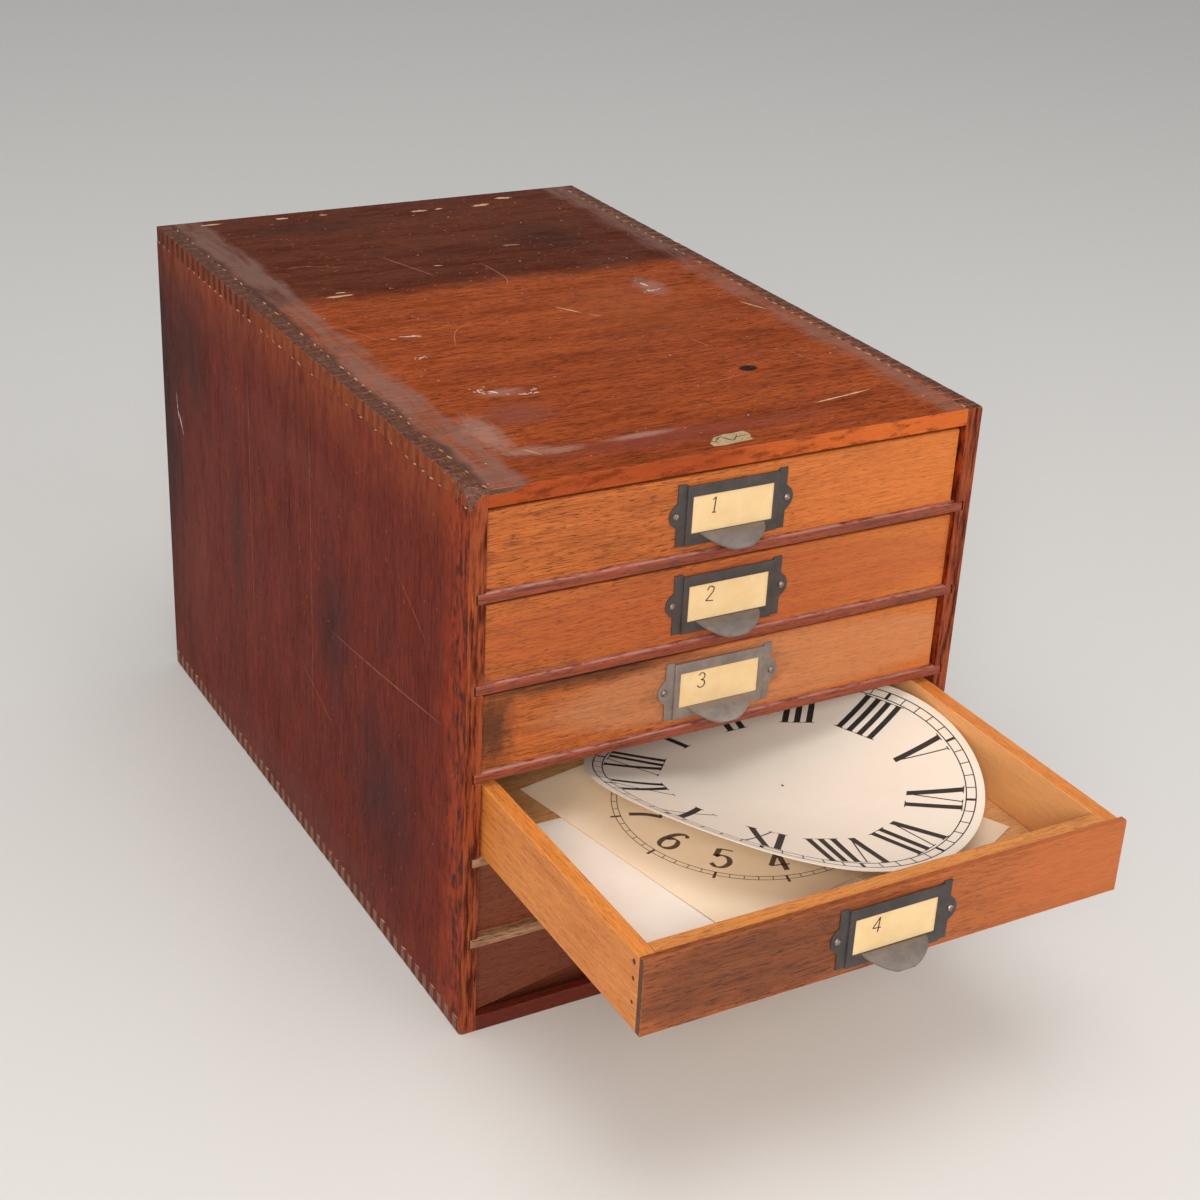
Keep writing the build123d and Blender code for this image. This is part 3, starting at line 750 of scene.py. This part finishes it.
def ring_tree():
    """Minute bars between two rails, drawn along a strip and wrapped round into a ring."""
    tree, given = open_tree("minute_ring", {"Radius": "Float", "Height": "Float", "Bar": "Float",
                                            "Five_Bar": "Float", "Rail": "Float", "Finish": "Material"})
    parts = []
    for count, width in ((60, "Bar"), (12, "Five_Bar")):
        line = add(tree, "GeometryNodeMeshLine", {"Count": count, "Offset": (math.tau / count, 0, 0)})
        angle = add(tree, "ShaderNodeMath", {0: given[width], 1: given["Radius"]}, operation="DIVIDE")
        bar = add(tree, "GeometryNodeMeshGrid", {"Size X": angle, "Size Y": given["Height"], "Vertices X": 2,
                                                 "Vertices Y": 2}, out="Mesh")
        parts.append(add(tree, "GeometryNodeInstanceOnPoints", {"Points": line, "Instance": bar}))
    for way in (-0.5, 0.5):
        rail = add(tree, "GeometryNodeMeshGrid", {"Size X": math.tau, "Size Y": given["Rail"],
                                                  "Vertices X": 181, "Vertices Y": 2}, out="Mesh")
        shift = add(tree, "ShaderNodeMath", {0: given["Height"], 1: way}, operation="MULTIPLY")
        place = add(tree, "ShaderNodeCombineXYZ", {"X": math.pi, "Y": shift})
        parts.append(add(tree, "GeometryNodeTransform", {"Geometry": rail, "Translation": place}))
    strip = add(tree, "GeometryNodeJoinGeometry")
    for part in parts:
        tree.links.new(part, strip.node.inputs[0])
    flat = add(tree, "GeometryNodeRealizeInstances", {"Geometry": strip})
    place = add(tree, "GeometryNodeInputPosition")
    split = add(tree, "ShaderNodeSeparateXYZ", {0: place}, out="X").node.outputs
    reach = add(tree, "ShaderNodeMath", {0: given["Radius"], 1: split["Y"]}, operation="ADD")
    around = {}
    for axis, operation in (("X", "SINE"), ("Y", "COSINE")):
        turn = add(tree, "ShaderNodeMath", {0: split["X"]}, operation=operation)
        around[axis] = add(tree, "ShaderNodeMath", {0: turn, 1: reach}, operation="MULTIPLY")
    wrapped = add(tree, "ShaderNodeCombineXYZ", around)
    ring = add(tree, "GeometryNodeSetPosition", {"Geometry": flat, "Position": wrapped})
    return close_tree(tree, ring, given["Finish"])


def heads_tree():
    """A low dome on every given point, facing one way, a little uneven in size."""
    tree, given = open_tree("domed_heads", {"Radius": "Float", "Rise": "Float", "Uneven": "Float",
                                            "Facing": "Vector", "Seed": "Int", "Finish": "Material"})
    points = add(tree, "GeometryNodeMeshToPoints", {"Mesh": given["Geometry"]})
    ball = add(tree, "GeometryNodeMeshUVSphere", {"Segments": 14, "Rings": 8, "Radius": 1.0}, out="Mesh")
    size = add(tree, "ShaderNodeCombineXYZ", {"X": given["Radius"], "Y": given["Radius"], "Z": given["Rise"]})
    dome = add(tree, "GeometryNodeTransform", {"Geometry": ball, "Scale": size})
    smooth = add(tree, "GeometryNodeSetShadeSmooth", {"Geometry": dome})
    turn = add(tree, "FunctionNodeAlignRotationToVector", {"Vector": given["Facing"]}, axis="Z")
    low = add(tree, "ShaderNodeMath", {0: 1.0, 1: given["Uneven"]}, operation="SUBTRACT")
    scale = add(tree, "FunctionNodeRandomValue", {2: low, 3: 1.0, "Seed": given["Seed"]})
    heads = add(tree, "GeometryNodeInstanceOnPoints", {"Points": points, "Instance": smooth, "Rotation": turn,
                                                       "Scale": scale})
    return close_tree(tree, heads, given["Finish"])


def flecks_tree():
    """Flat six-sided flecks on the given points and scattered over the given faces, long with the grain."""
    tree, given = open_tree("surface_flecks", {"Density": "Float", "Length": "Float", "Width": "Float",
                                               "Swing": "Float", "Facing": "Vector", "Seed": "Int",
                                               "Finish": "Material"})
    fixed = add(tree, "GeometryNodeMeshToPoints", {"Mesh": given["Geometry"]})
    strewn = add(tree, "GeometryNodeDistributePointsOnFaces", {
        "Mesh": given["Geometry"], "Density": given["Density"], "Seed": given["Seed"]}, out="Points")
    points = add(tree, "GeometryNodeJoinGeometry")
    for part in (fixed, strewn):
        tree.links.new(part, points.node.inputs[0])
    fleck = add(tree, "GeometryNodeMeshCircle", {"Vertices": 6, "Radius": 0.5}, fill_type="NGON")
    size = add(tree, "FunctionNodeRandomValue", {0: (0.4, 0.4, 1.0), 1: (1.0, 1.0, 1.0),
                                                 "Seed": given["Seed"]}, data_type="FLOAT_VECTOR")
    sides = add(tree, "ShaderNodeCombineXYZ", {"X": given["Length"], "Y": given["Width"], "Z": 1.0})
    scale = add(tree, "ShaderNodeVectorMath", {0: size, 1: sides}, operation="MULTIPLY")
    back_swing = add(tree, "ShaderNodeMath", {0: given["Swing"], 1: -1.0}, operation="MULTIPLY")
    swing = add(tree, "FunctionNodeRandomValue", {2: back_swing, 3: given["Swing"], "Seed": given["Seed"]})
    spin = add(tree, "FunctionNodeEulerToRotation", {0: add(tree, "ShaderNodeCombineXYZ", {"Z": swing})})
    turn = add(tree, "FunctionNodeAlignRotationToVector", {"Rotation": spin, "Vector": given["Facing"]},
               axis="Z")
    flecks = add(tree, "GeometryNodeInstanceOnPoints", {"Points": points, "Instance": fleck, "Rotation": turn,
                                                        "Scale": scale})
    return close_tree(tree, flecks, given["Finish"])


def grown(name, tree, sizes, points=(), faces=()):
    """Runs a tree on plain points and faces, in mm, and gives the result as a plain mesh piece."""
    mesh = bpy.data.meshes.new(name)
    mesh.from_pydata([Vector(point) * MM for point in points], [], faces)
    piece = bpy.data.objects.new(name, mesh)
    bpy.context.scene.collection.objects.link(piece)
    modifier = piece.modifiers.new("grown", "NODES")
    modifier.node_group = tree
    for socket in tree.interface.items_tree:
        if socket.in_out == "INPUT" and socket.name in sizes:
            modifier[socket.identifier] = sizes[socket.name]
    settle(piece)
    return piece


ring = ring_tree()
heads = heads_tree()
flecks = flecks_tree()
toward = {"front": (0.0, -1.0, 0.0), "back": (0.0, 1.0, 0.0), "left": (-1.0, 0.0, 0.0),
          "right": (1.0, 0.0, 0.0), "up": (0.0, 0.0, 1.0)}

pin_spacing = 67.0
holder_offset = -1.5
sheet_metal = 0.8
brad_inset = 4.5
brad_shares = (0.12, 0.34, 0.66)
drawer_middle = {}
for number in range(1, drawer_count + 1):
    low, high = [Vector(corner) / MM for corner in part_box(f"drawer_{number}_facing")]
    centre = Vector(((low.x + high.x) / 2 + holder_offset, low.y, (low.z + high.z) / 2))
    drawer_middle[number] = centre
    pins = [(centre.x + way * pin_spacing / 2, centre.y - sheet_metal, centre.z) for way in (-1, 1)]
    piece = grown(f"drawer_{number}_pin_domes", heads,
                  {"Radius": 2.05 * MM, "Rise": 1.35 * MM, "Uneven": 0.03, "Facing": toward["front"],
                   "Seed": number, "Finish": pin_metal}, pins)
    rides(piece, f"drawer_{number}", "japanned_steel")
    for side, way in (("left", -1), ("right", 1)):
        low, high = [Vector(corner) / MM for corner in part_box(f"drawer_{number}_side_{side}")]
        outside = low.x if way < 0 else high.x
        brads = [(outside, low.y + brad_inset, high.z - share * (high.z - low.z)) for share in brad_shares]
        piece = grown(f"drawer_{number}_brads_{side}", heads,
                      {"Radius": 1.5 * MM, "Rise": 0.12 * MM, "Uneven": 0.3, "Facing": toward[side],
                       "Seed": number * 10 + way, "Finish": filler}, brads)
        rides(piece, f"drawer_{number}", "drawer_side_wood")

nail_places = (-225.5, -60, 110)
shelf_levels = []
for number in range(1, drawer_count):
    low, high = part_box(f"shelf_{number}")
    shelf_levels.append((low[2] + high[2]) / 2 / MM)
for side, way in (("left", -1), ("right", 1)):
    nails = [(way * case_half_width, y, level) for y in nail_places for level in shelf_levels]
    piece = grown(f"case_shelf_nails_{side}", heads,
                  {"Radius": 1.3 * MM, "Rise": 0.15 * MM, "Uneven": 0.35, "Facing": toward[side],
                   "Seed": 21 + way, "Finish": filler}, nails)
    rides(piece, "case", "case_wood")
back_pin_pitch = 45.0
edge_x, low_z, high_z = 138.0, 14.0, 304.0
pins_across = int(2 * edge_x / back_pin_pitch) + 1
pins_up = int((high_z - low_z) / back_pin_pitch) + 1
back_pins = [(-edge_x + back_pin_pitch * i, case_depth / 2, z) for z in (low_z, high_z)
             for i in range(pins_across)]
back_pins += [(x, case_depth / 2, low_z + back_pin_pitch * i) for x in (-edge_x, edge_x)
              for i in range(1, pins_up)]
piece = grown("back_panel_pins", heads, {"Radius": 1.5 * MM, "Rise": 0.4 * MM, "Uneven": 0.15,
                                         "Facing": toward["back"], "Seed": 5, "Finish": pin_metal}, back_pins)
rides(piece, "case", "back_panel_wood")

# the pale broken ends between fingers, and old specks of paint and bare wood
joints = [front_of_case + finger_width * (2 * i + 1) for i in range(finger_count // 2)]
chance = random.Random(8)
chipped_share = 0.58
chip_length, chip_width = 1.2, 6.4
lift = 0.03
finger_ends = (case_height - 9.5, 9.6)
top_finger_end = case_half_width - 9.6
joint_spots = {
    "top": [(way * top_finger_end, y, case_height + lift) for way in (-1, 1) for y in joints],
    "left": [(-case_half_width - lift, y, z) for z in finger_ends for y in joints],
    "right": [(case_half_width + lift, y, z) for z in finger_ends for y in joints]}
for side, spots in joint_spots.items():
    spots = [spot for spot in spots if chance.random() < chipped_share]
    piece = grown(f"{side}_joint_chips", flecks,
                  {"Density": 0.0, "Length": chip_length * MM, "Width": chip_width * MM, "Swing": 0.25,
                   "Facing": toward["up" if side == "top" else side], "Seed": 3, "Finish": splinter},
                  spots)
    rides(piece, "case", "case_wood")

speck_end, speck_low, speck_high = 228, 14, 300


def top_field(half):
    """The corners of the part of the top that is strewn with specks."""
    around = ((-half, -speck_end), (half, -speck_end), (half, speck_end), (-half, speck_end))
    return [(x, y, case_height + lift) for x, y in around]


def side_field(way):
    """The corners of the part of a side that is strewn with specks."""
    around = ((-speck_end, speck_low), (speck_end, speck_low),
              (speck_end, speck_high), (-speck_end, speck_high))
    return [(way * (case_half_width + lift), way * y, z) for y, z in around]


for name, facing, finish, density, length, width, seed, corners in (
        ("top_specks", "up", scratch, 4200.0, 2.4, 0.9, 17, top_field(146)),
        ("top_paint_specks", "up", chalk, 420.0, 1.7, 1.1, 29, top_field(140)),
        ("left_specks", "left", scratch, 1500.0, 2.2, 0.7, 31, side_field(-1)),
        ("right_specks", "right", scratch, 1500.0, 2.2, 0.7, 37, side_field(1))):
    sizes = {"Density": density, "Length": length * MM, "Width": width * MM, "Swing": 0.5,
             "Facing": toward[facing], "Seed": seed, "Finish": finish}
    rides(grown(name, flecks, sizes, corners, [(0, 1, 2, 3)]), "case", "case_wood")


# ---------------------------------------------------------------- drawn marks: figures, scratches, splinters
def rounded(line):
    """The smooth line through the given points."""
    line = [Vector(point) for point in line]
    if len(line) < 3:
        return line
    closed = (line[0] - line[-1]).length < 0.01
    ends = [line[-2] if closed else line[0]] + line + [line[1] if closed else line[-1]]
    found = []
    for a, b, c, d in zip(ends, ends[1:], ends[2:], ends[3:]):
        for t in (0, 1 / 6, 2 / 6, 3 / 6, 4 / 6, 5 / 6):
            found.append((2 * b + (c - a) * t + (2 * a - 5 * b + 4 * c - d) * t * t
                          + (3 * b - a - 3 * c + d) * t ** 3) / 2)
    return found + [line[-1]]


def ribbon(shape, line, broad, fine, place, level=False, ragged=0.0, material=0):
    """A flat ribbon along a line in mm, broad where it runs up and fine where it runs across."""
    chance = random.Random(round(line[0][0] * 7 + line[-1][1] * 13))
    points = []
    for start, end in zip(line, line[1:]):
        start, end = Vector(start), Vector(end)
        steps = max(1, round((end - start).length / 2.5))
        points += [start.lerp(end, i / steps) for i in range(steps)]
    points.append(Vector(line[-1]))
    rows = []
    for i, point in enumerate(points):
        way = (points[min(i + 1, len(points) - 1)] - points[max(i - 1, 0)]).normalized()
        half = (fine + (broad - fine) * abs(way.y)) / 2
        if ragged:
            along = i / (len(points) - 1)
            half *= chance.uniform(1 - ragged, 1) * min(1, 0.15 + 5 * along * (1 - along))
        side = Vector((-math.copysign(1, way.y), 0)) if level else Vector((-way.y, way.x))
        rows.append([shape.verts.new(place(point + side * half * turn)) for turn in (1, -1)])
    for (a, b), (c, d) in zip(rows, rows[1:]):
        shape.faces.new((a, b, d, c)).material_index = material


def blot(shape, middle, reach, turn, place, seed, material=0):
    """A flat patch with a torn outline; sizes in mm, turn in degrees."""
    chance = random.Random(seed)
    corners = []
    for i in range(16):
        angle = math.tau * i / 16
        point = Vector((math.cos(angle) * reach[0], math.sin(angle) * reach[1])) * chance.uniform(0.5, 1.0)
        point.rotate(Matrix.Rotation(math.radians(turn), 2))
        corners.append(shape.verts.new(place(Vector(middle) + point)))
    shape.faces.new(corners).material_index = material


# centre lines of the figures on a field 6 wide and 10 high
figure_lines = {
    "0": [[(3, 10), (5.6, 7.6), (5.6, 2.4), (3, 0), (0.4, 2.4), (0.4, 7.6), (3, 10)]],
    "1": [[(1.3, 8.3), (3.1, 10)], [(3.1, 10), (3.1, 0)], [(1.6, 0.1), (4.6, 0.1)]],
    "2": [[(0.6, 7.4), (1.5, 9.5), (3.3, 10), (5, 8.8), (4.9, 6.6), (2.9, 3.6), (0.4, 0.3)],
          [(0.4, 0.3), (5.8, 0.3)]],
    "3": [[(0.6, 8.4), (2, 9.9), (4, 9.8), (5.1, 8), (4.3, 6), (2.5, 5.3)],
          [(2.5, 5.3), (4.8, 4.7), (5.7, 2.6), (4.6, 0.5), (2.4, 0), (0.5, 1.5)]],
    "4": [[(4.2, 10), (0.2, 3)], [(0.2, 3), (6, 3)], [(4.2, 10), (4.2, 0)]],
    "5": [[(1.2, 9.8), (5.3, 9.8)], [(1.2, 9.8), (0.9, 5.5)],
          [(0.9, 5.5), (2.6, 6.5), (4.7, 5.8), (5.7, 3.4), (4.6, 0.8), (2.4, 0), (0.5, 1.5)]],
    "6": [[(5, 9.2), (3.4, 10), (1.4, 8), (0.5, 4), (1.2, 1), (3.1, 0), (5, 1), (5.6, 3.2), (4.6, 5.5),
           (2.8, 6), (1, 4.4)]],
    "7": [[(0.3, 9.5), (5.8, 9.5)], [(5.8, 9.5), (3.5, 5.4), (2.4, 0)]],
    "8": [[(3, 5.4), (1, 6.8), (1, 8.8), (3, 10), (5, 8.8), (5, 6.8), (3, 5.4), (0.8, 4), (0.5, 1.6), (3, 0),
           (5.5, 1.6), (5.2, 4), (3, 5.4)]],
    "9": [[(1, 0.8), (2.6, 0), (4.6, 2), (5.5, 6), (4.8, 9), (2.9, 10), (1, 9), (0.4, 6.8), (1.4, 4.5),
           (3.2, 4), (5, 5.6)]],
}


def figures(shape, text, height, broad, fine, place, up, middle):
    """Plain figures of a height in mm, upright along up, centred on a middle point."""
    unit = height / 10
    across = Vector((up.y, -up.x))
    width = len(text) * 7 - 1
    for index, letter in enumerate(text):
        for line in figure_lines[letter]:
            run = [Vector(((x + index * 7 - width / 2) * unit, (y - 5) * unit)) for x, y in rounded(line)]
            ribbon(shape, run, broad, fine, lambda p: place(middle + across * p.x + up * p.y))


def roman(shape, numeral, place, up, middle):
    """A roman numeral of thick and thin strokes with fine feet, 30 mm high, upright along up."""
    high, thick, thin, foot = 30.0, 3.6, 0.9, 0.6
    across = Vector((up.y, -up.x))
    strokes = []
    cursor = 0.0
    for letter in numeral:
        pitch = 6.9 if letter == "I" else 15.0
        x = cursor + pitch / 2
        cursor += pitch
        if letter == "I":
            strokes += [((x, 0), (x, high), thick)]
            feet = [(x, 0, 3.1), (x, high, 3.1)]
        elif letter == "V":
            strokes += [((x - 5.2, high), (x + 0.4, 0), thick * 1.1), ((x + 5.6, high), (x + 0.8, 0), thin)]
            feet = [(x - 5.2, high, 3.2), (x + 5.6, high, 1.8)]
        else:
            strokes += [((x - 5.2, high), (x + 5.2, 0), thick * 1.1), ((x + 5.4, high), (x - 5.4, 0), thin)]
            feet = [(x - 5.2, high, 3.2), (x + 5.4, high, 1.8), (x + 5.2, 0, 3.2), (x - 5.4, 0, 1.8)]
        strokes += [((fx - reach, fy), (fx + reach, fy), foot) for fx, fy, reach in feet]
    for start, end, width in strokes:
        run = [Vector((x - cursor / 2, y - high / 2)) for x, y in (start, end)]
        ribbon(shape, run, width, width, lambda p: place(middle + across * p.x + up * p.y),
               level=abs(end[1] - start[1]) > 1)


dial_turn = Matrix.Rotation(math.radians(-69), 4, "Z") @ Matrix.Rotation(math.radians(-3.4), 4, "Y")
dial_middle = Vector((25.95, -260.7, 126.1))
dial_frame = Matrix.Translation(dial_middle * MM) @ dial_turn
dial_bend, dial_trough, dial_thickness = 242.0, 9.0, 0.5
cast_height, cast_reach, print_lift = 3, 6, 0.05
dial_mesh = nodes["round_dial"].data
dial_surface = BVHTree.FromPolygons([vertex.co for vertex in dial_mesh.vertices],
                                    [face.vertices for face in dial_mesh.polygons])


def on_dial(place):
    """A point of the flat print, in mm from the dial's middle, laid just above the bent card."""
    swing = place.y / dial_bend - math.asin(dial_trough / dial_bend)
    rise = Vector((0, -math.sin(swing), math.cos(swing)))
    point = Vector((place.x, dial_trough, dial_bend)) - rise * (dial_bend - dial_thickness)
    outward = (dial_turn @ rise).normalized()
    start = dial_frame @ (point * MM) + outward * cast_height * MM
    hit = dial_surface.ray_cast(start, -outward, cast_reach * MM)[0]
    return (hit if hit else start - outward * cast_height * MM) + outward * print_lift * MM


def flat(point):
    """A point of a print in mm, as it is on the flat sheet."""
    return Vector((point.x, point.y, 0)) * MM


def round_dial_print():
    """The roman chapter ring and its minute ring, bent with the card."""
    track = grown("round_dial_ring", ring, {"Radius": 100.9 * MM, "Height": 5.2 * MM, "Bar": 0.7 * MM,
                                            "Five_Bar": 2.0 * MM, "Rail": 0.65 * MM, "Finish": dial_ink})
    shape = bmesh.new()
    shape.from_mesh(track.data)
    bpy.data.objects.remove(track)
    first = math.radians(208.5)
    bmesh.ops.rotate(shape, verts=shape.verts, matrix=Matrix.Rotation(first, 3, "Z"))
    numerals = ("I", "II", "III", "IIII", "V", "VI", "VII", "VIII", "IX", "X", "XI", "XII")
    for hour, numeral in enumerate(numerals, 1):
        angle = first - math.radians(30 * hour)
        up = Vector((math.cos(angle), math.sin(angle)))
        roman(shape, numeral, flat, up, up * 81.5)
    blot(shape, (0, 0), (1.1, 1.1), 0, flat, 2)
    for vertex in shape.verts:
        vertex.co = on_dial(vertex.co / MM)
    piece = new_piece("round_dial_print", shape, dial_ink)
    rides(piece, "drawer_4", "dial_card")


def square_dial_print():
    """The plain figures and minute ring printed on the square card."""
    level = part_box("flat_papers")[1][2] / MM + print_lift
    centre = Vector((5, -257.5))
    first = math.radians(15.2)
    track = grown("square_dial_ring", ring, {"Radius": 71 * MM, "Height": 3.0 * MM, "Bar": 0.5 * MM,
                                             "Five_Bar": 1.4 * MM, "Rail": 0.45 * MM, "Finish": brown_ink})
    shape = bmesh.new()
    shape.from_mesh(track.data)
    bpy.data.objects.remove(track)
    bmesh.ops.rotate(shape, verts=shape.verts, matrix=Matrix.Rotation(first, 3, "Z"))
    for hour in range(1, 13):
        angle = first - math.radians(30 * hour)
        outward = Vector((math.cos(angle), math.sin(angle)))
        up = -outward if 4 <= hour <= 8 else outward
        figures(shape, str(hour), 17.5, 3.0, 1.0, flat, up, outward * 56)
        ribbon(shape, [outward * 72.8, outward * 75.2], 1.6, 1.6, flat)
    for vertex in shape.verts:
        vertex.co += Vector((centre.x, centre.y, level)) * MM
    piece = new_piece("square_dial_print", shape, brown_ink)
    rides(piece, "drawer_4", "flat_paper")


round_dial_print()
square_dial_print()

for number in range(1, drawer_count + 1):
    centre = drawer_middle[number]
    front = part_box(f"drawer_{number}_label_card")[0][1] / MM - print_lift
    shape = bmesh.new()
    figures(shape, str(number), 8.5, 0.75, 0.6, lambda p: Vector((p.x, front, p.y)) * MM,
            Vector((0.1, 0.995)), Vector((centre.x - 11, centre.z + 3.4)))
    piece = new_piece(f"drawer_{number}_card_figure", shape, pen_ink)
    rides(piece, f"drawer_{number}", "label_card")


scar_lift, smear_lift = 0.04, 0.07


def top_scars():
    """Splinters, scratches, paint blots and a torn paper remnant on the polished top."""
    def on_top(point):
        return Vector((point.x, point.y, case_height + scar_lift)) * MM

    def above(point):
        return Vector((point.x, point.y, case_height + smear_lift)) * MM

    shape = bmesh.new()
    wood_scar, paint, line_scar, torn, dark = range(5)
    scatter = random.Random(12)
    for line, width in ((((14, -3), (24, -19)), 1.9), (((26, -22), (32, -28)), 0.9),
                        (((70, -196), (110, -190)), 1.9), (((40, 120), (52, 118)), 1.3),
                        (((124, -34), (132, -52)), 1.6), (((-20, 96), (-14, 94)), 1.6),
                        (((-105, -195), (-99, -206)), 0.9)):
        ribbon(shape, rounded(line), width, width, on_top, ragged=0.5, material=wood_scar)
    for middle, reach, turn in (((-98, 60), (12, 1.9), 2), ((-94, 66), (4, 1.4), 4),
                                ((-71, 224), (7, 1.9), 3), ((-42, 223), (4, 1.4), 0),
                                ((22, 211), (7, 2.2), 2), ((37, 211), (4, 1.6), 10),
                                ((68, 210), (8, 2.6), 4), ((91, 221), (8, 2.6), -4),
                                ((-118, 226), (10, 1.6), 2)):
        blot(shape, middle, reach, turn, on_top, middle[0], wood_scar)
    for middle, reach, turn in (((-87, -21), (8, 1.3), -12), ((-83, -118), (5.5, 2.6), -50),
                                ((-89, -113), (3, 2), 0), ((86, 16), (2, 6), 10),
                                ((84, 4), (4.5, 1.6), -40), ((-63, -127), (6, 1), 6),
                                ((-60, -122), (2, 1), 6), ((-96, -55), (3, 0.8), 4)):
        blot(shape, middle, (reach[0] * 0.7, reach[1] * 0.8), turn, on_top, middle[1] + 90, paint)
        for i in range(6):
            beside_x = middle[0] + scatter.uniform(-1.5, 1.5) * reach[0]
            beside_y = middle[1] + scatter.uniform(-2.2, 2.2) * reach[1]
            blot(shape, (beside_x, beside_y), (reach[0] * 0.25, 0.6), turn, on_top, i, paint)
    for line in (((-44, 126), (-34, 96), (-26, 72)), ((-71, -46), (-60, -22), (-44, -10)),
                 ((-140, -35), (-116, -37)), ((10, 92), (12, 60), (6, 44)),
                 ((-108, 120), (-96, 122), (-74, 112)), ((30, -150), (64, -142)),
                 ((60, -80), (66, -104)), ((-20, 40), (-14, 30)), ((100, -110), (108, -140), (124, -160)),
                 ((-120, 10), (-104, -26))):
        ribbon(shape, rounded(line), 0.8, 0.8, on_top, ragged=0.6, material=line_scar)
    blot(shape, (-0.5, -222), (18.5, 9.5), 0, on_top, 44, torn)
    for line in (((-10, -224), (-4, -219), (0, -225), (6, -219)), ((2, -222), (12, -221)),
                 ((-13, -220), (-8, -226))):
        ribbon(shape, rounded(line), 1.3, 0.8, above, ragged=0.5, material=dark)
    piece = new_piece("top_scars", shape, splinter, chalk, scratch, tear_paper, smear)
    rides(piece, "case", "case_wood")


def side_scars():
    """Scratches and knocks on the left side."""
    def on_side(point):
        return Vector((-case_half_width - scar_lift, -point.x, point.y)) * MM

    shape = bmesh.new()
    for line, width in ((((-208, 214), (-206, 196)), 1.1), (((-208, 204), (-196, 187)), 1.3),
                        (((-203, 200), (-198, 190)), 1.0)):
        ribbon(shape, line, width, width, on_side, ragged=0.5, material=0)
    for line, width in ((((56, 162), (120, 168), (207, 178)), 0.6),
                        (((28, 300), (28.6, 180), (27.6, 60)), 0.5),
                        (((-70, 296), (-70.4, 200), (-69.6, 90)), 0.5), (((10, 120), (60, 100)), 0.5),
                        (((150, 240), (190, 214)), 0.5)):
        ribbon(shape, rounded(line), width, width, on_side, ragged=0.6, material=1)
    piece = new_piece("left_side_scars", shape, chalk, scratch)
    rides(piece, "case", "case_wood")


top_scars()
side_scars()
